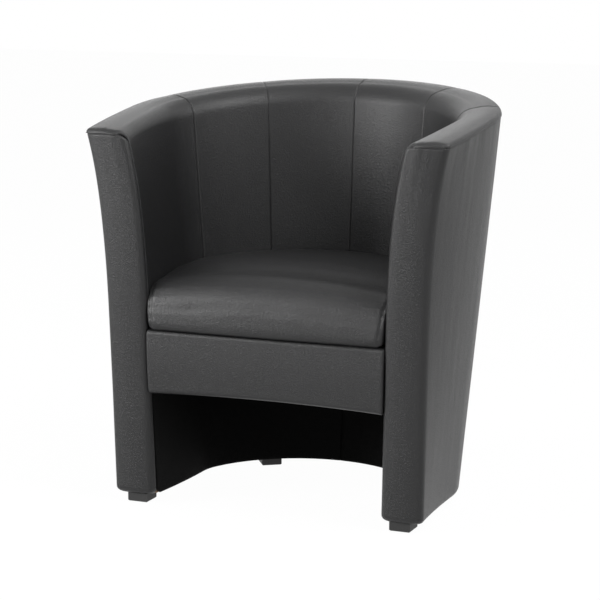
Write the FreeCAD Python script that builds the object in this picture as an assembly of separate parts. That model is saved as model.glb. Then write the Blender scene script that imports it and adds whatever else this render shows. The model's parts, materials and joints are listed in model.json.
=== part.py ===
import FreeCAD, Part
import math
import os

os.makedirs("parts", exist_ok=True)

V = FreeCAD.Vector

# Tub chair. Millimetres, Z up from the floor, the seat opens towards -Y.
# The origin lies on the floor under the middle of the chair's box.

# The shell: a horseshoe wall that flares upwards, with a rim that falls towards the arms
foot_height = 17.0
rim_back_height = 770.0
rim_front_height = 703.0
wall_thickness = 79.0
side_axis_x = 120.0
side_axis_y = -48.0
side_radius_base = 177.5
back_axis_y = -96.0
shell_flare = 74.0
arm_half_width_base = 307.8
arm_flare_even = 12.6
arm_flare_top = 33.5
arm_flare_power = 5.3
front_reach_base = 247.0
front_reach_top = 259.0
rim_inner_ease = 16.0
front_crown = 4.0
front_crown_side = 30.0
front_strip_depth = 8.0

# Layers of the wall, counted inwards from the outer cover
air = 0.3
cover_thickness = 1.4
wadding_thickness = 5.0
hardboard_thickness = 3.0
frame_board_thickness = 18.0
back_foam_thickness = 28.0
rim_foam_thickness = 20.0
front_pad_thickness = 12.0
cloth_thickness = 1.0

# The seams between the panels stand in planes through the back's upright axis
back_seam_angle = 33.7
side_seam_angle = 65.5
rib_angles = (17.0, 50.0, 84.0)

# The front rail and the ledge that carry the seat
rail_bottom_height = 214.0
rail_top_height = 335.0
rail_arch = 6.0
rail_reach = 256.0
rail_pad_thickness = 8.0
rail_board_thickness = 20.0
rail_edge_ease = 5.0
cleat_side = 28.0
cleat_low = 232.0
ledge_width = 34.0
front_bar_width = 50.0

# The upholstered seat
seat_crown_height = 456.0
seat_crown_radius = 1320.0
seat_crown_y = -60.0
crown_step = 75.0
seat_clearance = 0.8
seat_frame_width = 60.0
seat_turn_under = 30.0
cushion_corner_radius = 24.0
# How far the cushion's sides stand in from its widest outline, by height above its underside
cushion_side_profile = ((0.0, 9.0), (10.0, 3.0), (32.0, 0.0), (66.0, 0.5), (90.0, 7.0), (106.0, 19.0), (130.0, 50.0))
cushion_front_reach = 258.0
webbing_width = 50.0
webbing_thickness = 1.6
webbing_pitch = 82.0
webbing_overlap = 32.0
cross_webbing_y = -176.0
felt_thickness = 2.5
dust_cover_inset = 26.0
cloth_inset = 2.5

# Feet and fasteners
foot_side = 40.0
foot_edge = 2.0
front_foot_x = 264.0
front_foot_setback = 3.5
rear_foot_angle = 34.5
screw_radius = 2.2
screw_head_radius = 4.5
screw_head_height = 2.6
screw_clearance = 0.1
foot_screw_length = 26.0
foot_screw_recess = 8.0
seat_screw_length = 32.0
seat_screw_angles = (34.5, 80.0)
seat_screw_inset = 19.0
front_seat_screw_x = 120.0

reach = 1200.0


def mix(a, b, t):
    return a + (b - a) * t


def rise(z):
    return (z - foot_height) / (rim_back_height - foot_height)


def front_y(z):
    return -mix(front_reach_base, front_reach_top, rise(z))


def arm_half_width(z):
    t = max(0.0, (z - foot_height) / (rim_front_height - foot_height))
    return arm_half_width_base + arm_flare_even * t + arm_flare_top * t ** arm_flare_power


side_axis = V(side_axis_x, side_axis_y, 0)
back_axis = V(0, back_axis_y, 0)
joint_way = (side_axis - back_axis).normalize()
joint_angle = math.degrees(math.atan2(joint_way.x, joint_way.y))
back_radius_base = side_radius_base + (side_axis - back_axis).Length
shell_low = foot_height - 30.0
shell_high = rim_back_height + 30.0
arm_levels = [mix(shell_low, shell_high, t) for t in (0.0, 0.4, 0.65, 0.8, 0.9, 1.0)]
end_overrun = 60.0
arm_steps = 3


def flare(z):
    return shell_flare * rise(z)


def mirrored(p):
    return V(-p.x, p.y, p.z)


def line(a, b):
    return Part.LineSegment(a, b).toShape()


def arc(a, b, c):
    return Part.Arc(a, b, c).toShape()


def bezier(poles):
    curve = Part.BezierCurve()
    curve.setPoles(poles)
    return curve.toShape()


def arm_poles(z, depth):
    """The arm's plan curve, from the widest point of the side to the arm's front, moved inwards."""
    side = V(side_axis_x + side_radius_base + flare(z), side_axis_y, z)
    front = V(arm_half_width(z), front_y(z), z)
    control = side - V(0, (side - front).Length / 2, 0)
    heading = (front - control).normalize()
    side_in = V(-1, 0, 0)
    front_in = V(heading.y, -heading.x, 0)
    control_in = (side_in + front_in) * (1 / (1 + side_in.dot(front_in)))
    return side + side_in * depth, control + control_in * depth, front + front_in * depth


def arm_end(z, depth):
    """The arm's curve carried on in a straight line past its front."""
    side, control, front = arm_poles(z, depth)
    heading = front - control
    return front + heading * ((front_y(z) - end_overrun - front.y) / heading.y)


def cone_sector(axis, base_radius, low, high, angle_a, angle_b):
    """A sector of a cone between two levels, each a height and a depth below the outer surface.
    Angles turn from +Y towards +X, in degrees."""
    (low_z, low_depth), (high_z, high_depth) = low, high
    foot = axis + V(0, 0, low_z)
    low_radius = base_radius + flare(low_z) - low_depth
    high_radius = base_radius + flare(high_z) - high_depth
    sector = Part.makeCone(low_radius, high_radius, high_z - low_z, foot, V(0, 0, 1), angle_b - angle_a)
    return sector.rotated(foot, V(0, 0, 1), 90.0 - angle_b)


def arm_section(z, depth, smooth):
    """The section between the arms at one level. The arms' curves are smooth, or a few straight steps."""
    side, control, front = arm_poles(z, depth)
    end = arm_end(z, depth)
    if smooth:
        left = [mirrored(p) for p in (side, control, front)]
        return Part.Wire([
            bezier([side, control, front]),
            line(front, end),
            line(end, mirrored(end)),
            line(mirrored(end), left[2]),
            bezier([left[2], left[1], left[0]]),
            line(left[0], side),
        ])
    curve = Part.BezierCurve()
    curve.setPoles([side, control, front])
    right = [curve.value(i / arm_steps) for i in range(arm_steps + 1)] + [end]
    corners = right + [mirrored(p) for p in reversed(right)]
    return Part.makePolygon(corners + corners[:1])


def filled_between(levels, smooth=False):
    """The horseshoe filled in from side to side, through levels of height and depth."""
    low, high = levels[0], levels[-1]
    body = Part.makeLoft([arm_section(z, depth, smooth) for z, depth in levels], True, not smooth)
    return body.multiFuse([
        cone_sector(back_axis, back_radius_base, low, high, -joint_angle, joint_angle),
        cone_sector(side_axis, side_radius_base, low, high, joint_angle, 90.0),
        cone_sector(mirrored(side_axis), side_radius_base, low, high, -90.0, -joint_angle),
    ])


def filled(depth, smooth=False):
    """All the room inside the shell's outer surface moved inwards by depth, taller than the shell."""
    return filled_between([(z, depth) for z in arm_levels], smooth)


def wall(outer, inner):
    return filled(outer).cut(filled(inner))


back_reach_top = back_axis_y + back_radius_base + shell_flare
rim_slope = (rim_back_height - rim_front_height) / (back_reach_top - front_y(rim_front_height))


def rim_z(y, depth=0.0):
    return rim_front_height + (y - front_y(rim_front_height)) * rim_slope - depth * math.hypot(1, rim_slope)


def side_prism(corners):
    points = [V(-reach / 2, y, z) for y, z in corners]
    return Part.Face(Part.makePolygon(points + points[:1])).extrude(V(reach, 0, 0))


def under_rim(rim_depth, low, front_depth=-end_overrun / 2):
    """Everything above a height, under the rim plane and behind the leaning front plane."""
    y, z = front_y(rim_front_height) + front_depth, rim_front_height
    for _ in range(6):
        z = rim_z(y, rim_depth)
        y = front_y(z) + front_depth
    far = reach / 2
    return side_prism([(front_y(low) + front_depth, low), (y, z), (far, rim_z(far, rim_depth)), (far, low)])


def above(z):
    return Part.makeBox(reach, reach, reach, V(-reach / 2, -reach / 2, z))


def below(z):
    return above(z).translated(V(0, 0, -reach))


def wedge(angle_a, angle_b):
    """An upright sector about the back's axis. Angles turn from +Y towards +X, in degrees."""
    steps = max(1, math.ceil(abs(angle_b - angle_a) / 50.0))
    corner = back_axis - V(0, 0, reach / 2)
    points = [corner]
    for i in range(steps + 1):
        a = math.radians(mix(angle_a, angle_b, i / steps))
        points.append(corner + V(math.sin(a), math.cos(a), 0) * reach)
    return Part.Face(Part.makePolygon(points + points[:1])).extrude(V(0, 0, 2 * reach))


def arm_crown(depth):
    """Room with the bevelled, slightly proud fronts of both arms, moved inwards by depth."""
    half = wall_thickness / 2
    fall = 0.2 * half
    sections = []
    for z in arm_levels:
        middle = V(arm_poles(z, half)[2].x, front_y(z) - front_crown + depth, z)
        plan = [
            (-2 * half, fall + half), (-half, fall), (-half / 2, 0), (half / 2, 0),
            (half, fall), (2 * half, fall + half), (2 * half, 4 * half), (-2 * half, 4 * half),
        ]
        corners = [middle + V(x, y, 0) for x, y in plan]
        sections.append(Part.makePolygon(corners + corners[:1]))
    crown = Part.makeLoft(sections, True, True)
    return crown.fuse(crown.mirror(V(0, 0, 0), V(1, 0, 0)))


def eased_rim():
    """Room under the eased inner edge of the rim, at the same place whatever the rim plane."""
    spare = 20.0
    inner_spare = 6.0
    room = filled(wall_thickness + inner_spare, True)
    body = filled(-5.0, True).cut(room).common(under_rim(-spare, rail_top_height)).Solids[0]
    edges = []
    for edge in body.Edges:
        a, b = edge.ParameterRange
        points = [edge.valueAt(mix(a, b, t)) for t in (0.0, 0.3, 0.6, 1.0)]
        on_rim = all(abs(p.z - rim_z(p.y, -spare)) < 0.05 for p in points)
        if on_rim and all(room.distToShape(Part.Vertex(p))[0] < 0.05 for p in points):
            edges.append(edge)
    return body.makeChamfer(rim_inner_ease + spare + inner_spare, edges)


rim_room = eased_rim()


def shell_body(depth, low):
    """The whole upholstered horseshoe moved inwards by depth, with its eased rim and crowned arms."""
    body = wall(depth, wall_thickness - depth).common(under_rim(depth, low))
    eased = rim_room.translated(V(0, 0, -depth * math.sqrt(2)))
    lower = body.common(below(rail_top_height + 20.0))
    upper = body.common(above(rail_top_height + 20.0)).common(eased)
    body = upper.fuse(lower).removeSplitter()
    front = arm_crown(depth).fuse(under_rim(depth - 10.0, low - 10.0, front_crown_side))
    return body.common(front)


def between(low, high):
    return above(low).common(below(high))


def over_rim(rim_depth):
    """Everything above the rim plane moved down by rim_depth."""
    near, far = -reach / 2, reach / 2
    return side_prism([(near, rim_z(near, rim_depth)), (far, rim_z(far, rim_depth)), (far, reach), (near, reach)])


def before_front(depth):
    """Everything before the leaning front plane moved back by depth."""
    low, high = -reach / 10, reach
    return side_prism([(front_y(low) + depth, low), (front_y(high) + depth, high), (-reach, high), (-reach, low)])


def across(near, far):
    """Everything between two distances from front to back."""
    return Part.makeBox(reach, far - near, 2 * reach, V(-reach / 2, near, -reach / 2))


def on_side(sign):
    return Part.makeBox(reach / 2, reach, 2 * reach, V(0 if sign > 0 else -reach / 2, -reach / 2, -reach / 2))


def board_at(angle):
    """An upright slab as thick as a frame board, from the back's axis outwards."""
    slab = Part.makeBox(frame_board_thickness, reach, reach, back_axis - V(frame_board_thickness / 2, 0, 0))
    return slab.rotated(back_axis, V(0, 0, 1), -angle)


def layer(outer, inner, low, rim_depth, front_depth):
    """A horseshoe layer between two depths, from a height up to a depth under the rim."""
    return wall(outer, inner).common(under_rim(rim_depth, low, front_depth))


def wall_point(angle, depth, z):
    """A point in the wall: the angle is the heading of the outer surface there."""
    way = V(math.sin(math.radians(angle)), math.cos(math.radians(angle)), 0)
    if abs(angle) <= joint_angle:
        return back_axis + way * (back_radius_base + flare(z) - depth) + V(0, 0, z)
    axis = side_axis if angle > 0 else mirrored(side_axis)
    return axis + way * (side_radius_base + flare(z) - depth) + V(0, 0, z)


pieces = {}


def add(name, shape):
    solids = shape.Solids
    pieces[name] = solids[0] if len(solids) == 1 else Part.makeCompound(solids)


sides = (("right", 1), ("left", -1))

# Heights that stack up from the floor
base_low = foot_height + cloth_thickness
base_high = base_low + frame_board_thickness
ledge_high = rail_top_height
ledge_low = ledge_high - frame_board_thickness
seat_low = ledge_high
frame_low = seat_low + cover_thickness
frame_high = frame_low + frame_board_thickness
cross_webbing_low = frame_high + webbing_thickness
felt_low = cross_webbing_low + webbing_thickness
foam_low = felt_low + felt_thickness + air

# Depths that stack up from the outer surface to the inner one
wadding_depth = cover_thickness + air
hardboard_depth = wadding_depth + wadding_thickness + air
core_depth = hardboard_depth + hardboard_thickness + air
foam_inner_depth = wall_thickness - cover_thickness - air
foam_outer_depth = foam_inner_depth - back_foam_thickness
inner_board_depth = foam_outer_depth - air - hardboard_thickness
core_inner_depth = inner_board_depth - air
lower_board_depth = foam_inner_depth - hardboard_thickness
lower_core_depth = lower_board_depth - air
rim_foam_depth = cover_thickness + air + rim_foam_thickness
top_board_depth = rim_foam_depth + air
upper_core_depth = top_board_depth + frame_board_thickness
pad_depth = cover_thickness + air + front_pad_thickness
post_depth = pad_depth + air
behind_post_depth = post_depth + frame_board_thickness

# The covers: a skin all round, cut into its panels
outline = shell_body(0.0, base_low)
skin = outline.cut(shell_body(cover_thickness, base_low - 5.0))
outer_zone = filled(-5.0).cut(filled(cover_thickness + air / 2)).cut(over_rim(cover_thickness + air / 2))
outer_zone = outer_zone.fuse(before_front(front_strip_depth))
outer_skin = skin.common(outer_zone)
inner_skin = skin.cut(outer_zone)
liner = inner_skin.common(below(ledge_low - air))
inner_skin = inner_skin.common(above(ledge_high + air))
add("outer_cover_back", outer_skin.common(wedge(-side_seam_angle, side_seam_angle)))
for side, sign in sides:
    add("outer_cover_" + side, outer_skin.common(wedge(sign * side_seam_angle, sign * 185.0)))
    add("inner_back_cover_" + side, inner_skin.common(wedge(0.0, sign * back_seam_angle)))
    add("inner_corner_cover_" + side, inner_skin.common(wedge(sign * back_seam_angle, sign * side_seam_angle)))
    add("inner_arm_cover_" + side, inner_skin.common(wedge(sign * side_seam_angle, sign * 185.0)))
    add("under_seat_cover_" + side, liner.common(on_side(sign)))

# The padding and the hardboard skins of the back and the arms
pad_body = shell_body(cover_thickness + air, base_low)
add("outer_wadding", layer(wadding_depth, wadding_depth + wadding_thickness, base_low, top_board_depth, post_depth))
add("outer_hardboard",
    layer(hardboard_depth, hardboard_depth + hardboard_thickness, base_low, top_board_depth, post_depth))
add("inner_hardboard_upper",
    layer(inner_board_depth, inner_board_depth + hardboard_thickness, ledge_high, top_board_depth, post_depth))
add("inner_hardboard_lower",
    layer(lower_board_depth, foam_inner_depth, base_low, 0.0, post_depth).common(below(ledge_low)))
add("back_foam", layer(foam_outer_depth, foam_inner_depth, ledge_high, top_board_depth, post_depth))
add("rim_foam", pad_body.common(over_rim(rim_foam_depth)).cut(before_front(post_depth)))
for side, sign in sides:
    add("arm_front_pad_" + side, pad_body.common(before_front(pad_depth)).common(on_side(sign)))

# The frame of the back and the arms: three rings, a post at each arm's front, and upright ribs between
add("base_cloth", layer(cloth_inset, wall_thickness - cloth_inset, foot_height, 0.0, cloth_inset)
    .common(below(base_low)))
add("base_ring", layer(core_depth, lower_core_depth, base_low, 0.0, post_depth).common(below(base_high)))
rail_back_y = -rail_reach + cover_thickness + air + rail_pad_thickness + air + rail_board_thickness
ledge = layer(core_depth, wall_thickness + ledge_width, ledge_low, 0.0, behind_post_depth)
front_bar = filled(wall_thickness + air).common(across(rail_back_y, rail_back_y + front_bar_width))
add("seat_ring", ledge.fuse(front_bar.common(above(ledge_low))).common(below(ledge_high)).removeSplitter())
top_board = layer(core_depth, core_inner_depth, ledge_high, top_board_depth, behind_post_depth)
add("top_ring", top_board.common(over_rim(upper_core_depth)))
post = wall(core_depth, core_inner_depth).common(before_front(behind_post_depth))
post = post.common(under_rim(top_board_depth, base_high, post_depth))
for side, sign in sides:
    add("arm_post_" + side, post.common(on_side(sign)))
lower_core = layer(core_depth, lower_core_depth, base_high, 0.0, behind_post_depth).common(below(ledge_low))
upper_core = layer(core_depth, core_inner_depth, ledge_high, upper_core_depth, behind_post_depth)
for place, angle in zip(("back", "corner", "arm"), rib_angles):
    for side, sign in sides:
        add("lower_rib_" + place + "_" + side, lower_core.common(board_at(sign * angle)))
        add("upper_rib_" + place + "_" + side, upper_core.common(board_at(sign * angle)))


# The front rail between the arms
def rail_block(inset, far_y):
    """The rail's section moved inwards by inset, arched along its lower edge."""
    y = -rail_reach + inset
    ease = rail_edge_ease
    low = rail_bottom_height + inset
    high = rail_top_height - inset
    block = side_prism([(y + ease, high), (y, high - ease), (y, low), (far_y, low), (far_y, high)])
    half = arm_half_width(low) - wall_thickness
    radius = (half ** 2 + rail_arch ** 2) / (2 * rail_arch)
    arch = Part.makeCylinder(radius, reach, V(0, -reach / 2, low + rail_arch - radius), V(0, 1, 0))
    return block.cut(arch).common(filled(wall_thickness + air))


rail_pad_y = -rail_reach + cover_thickness + air + rail_pad_thickness
rail_inside = rail_block(cover_thickness, rail_back_y + 5.0)
rail_core = rail_block(cover_thickness + air, rail_back_y)
add("rail_cover", rail_block(0.0, rail_back_y).cut(rail_inside))
add("rail_pad", rail_core.common(across(-reach / 2, rail_pad_y)))
add("rail_board", rail_core.common(across(rail_pad_y + air, rail_back_y)))
for side, sign in sides:
    cleat = filled(wall_thickness + air).cut(filled(wall_thickness + air + cleat_side))
    cleat = cleat.common(across(rail_back_y, rail_back_y + cleat_side)).common(between(cleat_low, ledge_low))
    add("rail_cleat_" + side, cleat.common(on_side(sign)))


def crown_room(top):
    """All the room under a shallow dome, turned from straight steps."""
    steps = [i * crown_step for i in range(6)]
    dome = [V(r, 0, top - r * r / (2 * seat_crown_radius)) for r in steps]
    corners = dome + [V(steps[-1], 0, 0), V(0, 0, 0)]
    face = Part.Face(Part.makePolygon(corners + corners[:1]))
    return face.revolve(V(0, 0, 0), V(0, 0, 1), 360.0).translated(V(0, seat_crown_y, 0))


# The seat: a board frame with webbing, felt and foam, in one cover pulled under the frame
def cushion(inset, low):
    """The cushion moved inwards by inset: drawn in below, widest above, and crowned."""
    levels = [(seat_low + height, step + inset) for height, step in cushion_side_profile]
    sections = []
    for (low_z, low_step), (high_z, high_step) in zip(levels, levels[1:]):
        outer = wall_thickness + seat_clearance
        sections.append(filled_between([(low_z, outer + low_step), (high_z, outer + high_step)]))
    stack = sections[0].multiFuse(sections[1:])
    front = [(-cushion_front_reach + step, z) for z, step in levels]
    stack = stack.common(side_prism(front + [(reach / 2, levels[-1][0]), (reach / 2, levels[0][0])]))
    return stack.common(crown_room(seat_crown_height - inset)).common(above(low))


cushion_inside = cushion(cover_thickness, frame_low)
seat_core = cushion(cover_thickness + air, frame_low)
turned_under = cushion_side_profile[0][1] + seat_turn_under
under_opening = filled(wall_thickness + seat_clearance + turned_under)
under_opening = under_opening.common(across(-cushion_front_reach + turned_under, reach / 2))
add("seat_cover", cushion(0.0, seat_low).cut(cushion_inside).cut(under_opening.common(below(frame_low))))
frame_inset = cushion_side_profile[0][1] + seat_frame_width
frame_opening = filled(wall_thickness + seat_clearance + frame_inset)
frame_opening = frame_opening.common(across(-cushion_front_reach + frame_inset, reach / 2))
seat_frame = seat_core.common(between(frame_low, frame_high)).cut(frame_opening)
webbing_area = filled(wall_thickness + seat_clearance + frame_inset - webbing_overlap)
webbing_area = webbing_area.common(across(-cushion_front_reach + frame_inset - webbing_overlap, reach / 2))
long_straps = []
for i in (-1, 0, 1):
    corner = V(i * webbing_pitch - webbing_width / 2, -reach / 2, frame_high)
    long_straps.append(Part.makeBox(webbing_width, reach, webbing_thickness, corner).common(webbing_area))
cross_straps = []
for i in range(4):
    corner = V(-reach / 2, cross_webbing_y + i * webbing_pitch, cross_webbing_low)
    cross_straps.append(Part.makeBox(reach, webbing_width, webbing_thickness, corner).common(webbing_area))
add("webbing_front_to_back", Part.makeCompound(long_straps))
add("webbing_side_to_side", Part.makeCompound(cross_straps))
add("seat_felt", webbing_area.common(between(felt_low, felt_low + felt_thickness)))
add("seat_foam", seat_core.common(above(foam_low)))
dust_cover = filled(wall_thickness + dust_cover_inset).common(across(rail_back_y + cleat_side + 2.0, reach / 2))


# Feet and screws
def foot_at(point, angle):
    foot = Part.makeBox(foot_side, foot_side, foot_height, V(-foot_side / 2, -foot_side / 2, 0))
    foot = foot.makeChamfer(foot_edge, [e for e in foot.Edges if e.BoundBox.ZMax < foot_height / 2])
    return foot.rotated(V(0, 0, 0), V(0, 0, 1), -angle).translated(V(point.x, point.y, 0))


def screw(x, y, head_z, length, spare=0.0):
    """A screw that points up, its head's top face at head_z. With spare it is the hole for one."""
    shank = Part.makeCylinder(screw_radius + spare, length + spare, V(x, y, head_z))
    head = Part.makeCylinder(screw_head_radius + spare, screw_head_height + spare, V(x, y, head_z - screw_head_height - spare))
    return shank.fuse(head)


front_foot_y = front_y(foot_height) + front_foot_setback + foot_side / 2
feet = {}
for side, sign in sides:
    feet["front_foot_" + side] = (V(sign * front_foot_x, front_foot_y, 0), 0.0)
    rear = wall_point(sign * rear_foot_angle, wall_thickness / 2, foot_height)
    feet["rear_foot_" + side] = (rear, sign * rear_foot_angle)
foot_screws = []
foot_holes = []
for name, (point, angle) in feet.items():
    add(name, foot_at(point, angle))
    foot_screws.append(screw(point.x, point.y, foot_screw_recess, foot_screw_length))
    hole = screw(point.x, point.y, foot_screw_recess, foot_screw_length, screw_clearance)
    recess = Part.makeCylinder(screw_head_radius + screw_clearance, foot_screw_recess, V(point.x, point.y, 0))
    foot_holes.append(hole.fuse(recess))
seat_screw_points = []
for side, sign in sides:
    for angle in seat_screw_angles:
        seat_screw_points.append(wall_point(sign * angle, wall_thickness + seat_screw_inset, ledge_low))
    seat_screw_points.append(V(sign * front_seat_screw_x, rail_back_y + seat_screw_inset, 0))
seat_screws = [screw(p.x, p.y, ledge_low, seat_screw_length) for p in seat_screw_points]
seat_holes = [screw(p.x, p.y, ledge_low, seat_screw_length, screw_clearance) for p in seat_screw_points]
add("foot_screws", Part.makeCompound(foot_screws))
add("seat_screws", Part.makeCompound(seat_screws))
add("seat_frame", seat_frame.cut(Part.makeCompound(seat_holes)))
add("seat_ring", pieces["seat_ring"].cut(Part.makeCompound(seat_holes)))
add("seat_cover", pieces["seat_cover"].cut(Part.makeCompound(seat_holes)))
add("dust_cover", dust_cover.common(between(ledge_low - cloth_thickness, ledge_low)))
for name in list(feet) + ["base_cloth", "base_ring"]:
    add(name, pieces[name].cut(Part.makeCompound(foot_holes)))

# The origin moves to the middle of the chair's box, on the floor
box = pieces["outer_cover_back"].optimalBoundingBox()
for name, shape in pieces.items():
    box.add(shape.optimalBoundingBox())
centring = V(0, -(box.YMin + box.YMax) / 2, 0)
for name, shape in pieces.items():
    shape.translated(centring).exportStep(os.path.join("parts", name + ".step"))
print("nodes", len(pieces), "box", box, "moved by", centring.y)
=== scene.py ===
import json
import math

import bmesh
import bpy
import numpy as np
from mathutils import Matrix, Vector, noise


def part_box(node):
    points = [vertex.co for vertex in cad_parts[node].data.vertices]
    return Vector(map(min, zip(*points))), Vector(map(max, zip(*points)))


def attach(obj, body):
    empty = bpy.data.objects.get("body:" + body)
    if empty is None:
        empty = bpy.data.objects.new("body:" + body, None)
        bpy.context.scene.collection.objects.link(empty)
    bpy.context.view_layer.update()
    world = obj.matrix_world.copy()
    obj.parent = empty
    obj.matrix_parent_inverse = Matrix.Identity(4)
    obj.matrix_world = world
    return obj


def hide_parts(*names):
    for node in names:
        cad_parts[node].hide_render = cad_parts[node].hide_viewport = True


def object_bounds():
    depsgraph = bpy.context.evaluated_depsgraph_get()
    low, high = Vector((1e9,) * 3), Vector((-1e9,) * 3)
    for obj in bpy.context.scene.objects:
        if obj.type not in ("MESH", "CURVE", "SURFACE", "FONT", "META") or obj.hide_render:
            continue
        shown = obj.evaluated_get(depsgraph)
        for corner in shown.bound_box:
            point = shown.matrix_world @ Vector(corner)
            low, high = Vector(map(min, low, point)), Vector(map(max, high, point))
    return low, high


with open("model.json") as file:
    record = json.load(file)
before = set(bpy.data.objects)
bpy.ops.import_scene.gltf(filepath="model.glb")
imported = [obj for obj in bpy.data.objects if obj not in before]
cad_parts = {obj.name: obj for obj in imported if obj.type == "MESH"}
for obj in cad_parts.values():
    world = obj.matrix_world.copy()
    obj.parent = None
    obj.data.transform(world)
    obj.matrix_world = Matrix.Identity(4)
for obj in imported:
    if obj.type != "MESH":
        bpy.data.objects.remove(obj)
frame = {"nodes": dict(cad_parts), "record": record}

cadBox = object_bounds()

# The shell in metres and degrees: a flared horseshoe in plan, its back and sides parts of cones

shell = {
    "foot": 0.017,  # the shell's lower edge
    "rimBack": 0.770,
    "rimFront": 0.703,
    "rimGuess": 0.74,  # where the search for the rim's height starts
    "wall": 0.079,  # its thickness
    "sideX": 0.120,  # middle of the side's round, and its radius at the foot
    "sideY": -0.048,
    "sideRadius": 0.1775,
    "backY": -0.096,
    "flare": 0.074,  # how far the wall leans out from foot to rim
    "armHalf": 0.3078,  # half the width over the arms' fronts at the foot
    "armEven": 0.0126,  # their even lean, and their sweep near the top
    "armTop": 0.0335,
    "armPower": 5.3,
    "frontLow": 0.247,
    "frontHigh": 0.259,
    "backSeam": 33.7,  # headings of the seams
    "sideSeam": 65.5,
    "side": 90.0,
    "armSpan": 40.0,  # headings from the side to the arm's front
}
axisGap = math.hypot(shell["sideX"], shell["sideY"] - shell["backY"])
jointAngle = math.degrees(math.atan2(shell["sideX"], shell["sideY"] - shell["backY"]))
backRadius = shell["sideRadius"] + axisGap
backReach = shell["backY"] + backRadius + shell["flare"]
shiftY = cadBox[1][1] - backReach
frontEnd = shell["side"] + shell["armSpan"]


def rise(z):
    return (z - shell["foot"]) / (shell["rimBack"] - shell["foot"])


def frontY(z):
    return -(shell["frontLow"] + (shell["frontHigh"] - shell["frontLow"]) * rise(z))


def armHalf(z):
    t = max(0.0, (z - shell["foot"]) / (shell["rimFront"] - shell["foot"]))
    return shell["armHalf"] + shell["armEven"] * t + shell["armTop"] * t ** shell["armPower"]


rimStart = frontY(shell["rimFront"])
rimSlope = (shell["rimBack"] - shell["rimFront"]) / (backReach - rimStart)


def rimZ(y):
    return shell["rimFront"] + (y - shiftY - rimStart) * rimSlope


def wallPoint(heading, depth, z, setback=0.0):
    # heading turns from the middle of the back (0) past the side (90) to the arm's front (frontEnd)
    sign = -1.0 if heading < 0 else 1.0
    h = abs(heading)
    flare = shell["flare"] * rise(z)
    if h <= shell["side"]:
        a = math.radians(h)
        if h <= jointAngle:
            x, y, radius = 0.0, shell["backY"], backRadius
        else:
            x, y, radius = shell["sideX"], shell["sideY"], shell["sideRadius"]
        radius += flare - depth
        return np.array((sign * (x + radius * math.sin(a)), y + radius * math.cos(a) + shiftY, z))
    # the arm is one soft bend, cut off square to the chair's front
    t = (h - shell["side"]) / shell["armSpan"]
    side = np.array((shell["sideX"] + shell["sideRadius"] + flare, shell["sideY"]))
    front = np.array((armHalf(z), frontY(z)))
    control = side - np.array((0.0, np.linalg.norm(side - front) / 2))
    way = (control - side) * (1 - t) + (front - control) * t
    way /= np.linalg.norm(way)
    inward = np.array((way[1], -way[0]))
    p = side * (1 - t) ** 2 + control * 2 * t * (1 - t) + front * t * t + inward * depth
    lastWay = (front - control) / np.linalg.norm(front - control)
    p = p + lastWay * ((setback + lastWay[0] * depth) / lastWay[1]) * t
    return np.array((sign * p[0], p[1] + shiftY, z))


def onRim(heading, depth, drop, setback=0.0):
    # a point in the wall, a drop below the slanting plane of the rim
    z = shell["rimGuess"]
    for _ in range(3):
        p = wallPoint(heading, depth, z, setback)
        z = rimZ(p[1]) - drop
    return wallPoint(heading, depth, z, setback)


def ease(x):
    x = min(1.0, max(0.0, x))
    return x * x * (3 - 2 * x)


# Meshes

leatherThickness = 0.0014


def addObject(name, mesh):
    piece = bpy.data.objects.new(name, mesh)
    bpy.context.scene.collection.objects.link(piece)
    return piece


def gridPiece(name, rows, material, thickness=leatherThickness, flip=False, closed=False):
    # rows of points become one smooth sheet, given its thickness inwards
    rows = np.array(rows)
    count, width = rows.shape[:2]
    points = rows.reshape(-1, 3)
    faces = []
    for i in range(count - 1):
        for j in range(width if closed else width - 1):
            k = (j + 1) % width
            quad = (i * width + j, i * width + k, (i + 1) * width + k, (i + 1) * width + j)
            faces.append(quad[::-1] if flip else quad)
    mesh = bpy.data.meshes.new(name)
    mesh.from_pydata([tuple(p) for p in points], [], faces)
    mesh.update()
    mesh.materials.append(material)
    mesh.shade_smooth()
    piece = addObject(name, mesh)
    if thickness:
        solid = piece.modifiers.new("thickness", "SOLIDIFY")
        solid.thickness = thickness
        solid.offset = -1.0
        solid.use_rim = True
    return piece


def closedPiece(name, rows, material):
    # the first and last rings are closed with a face each
    piece = gridPiece(name, rows, material, thickness=0, closed=True)
    count = len(rows[0])
    work = bmesh.new()
    work.from_mesh(piece.data)
    work.verts.ensure_lookup_table()
    total = len(work.verts)
    work.faces.new([work.verts[i] for i in range(count)])
    work.faces.new([work.verts[total - count + i] for i in range(count)])
    bmesh.ops.recalc_face_normals(work, faces=work.faces)
    work.to_mesh(piece.data)
    work.free()
    piece.data.shade_smooth()
    return piece


def bake(piece):
    # the modifiers' result becomes the piece's own mesh
    evaluated = piece.evaluated_get(bpy.context.evaluated_depsgraph_get())
    mesh = bpy.data.meshes.new_from_object(evaluated)
    piece.modifiers.clear()
    piece.data = mesh
    return mesh


def finishCover(piece, *nodes):
    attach(piece, "root")
    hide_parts(*nodes)


def bandSize(rows):
    # a band's flat cut: its longest width, its longest edge and its area
    grid = np.array(rows)
    a, b, c, d = grid[:-1, :-1], grid[1:, :-1], grid[1:, 1:], grid[:-1, 1:]
    area = float(np.linalg.norm(np.cross(c - a, d - b), axis=2).sum()) / 2
    width = float(np.linalg.norm(np.diff(grid, axis=1), axis=2).sum(axis=1).max())
    length = float(np.linalg.norm(np.diff(grid, axis=0), axis=2).sum(axis=0).max())
    return (width, length), area


def declareSheet(piece, flat, area, node):
    print("sheet", piece.name, "cut %.3f by %.3f m, %.4f m2" % (flat[0], flat[1], area))


# Materials

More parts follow.
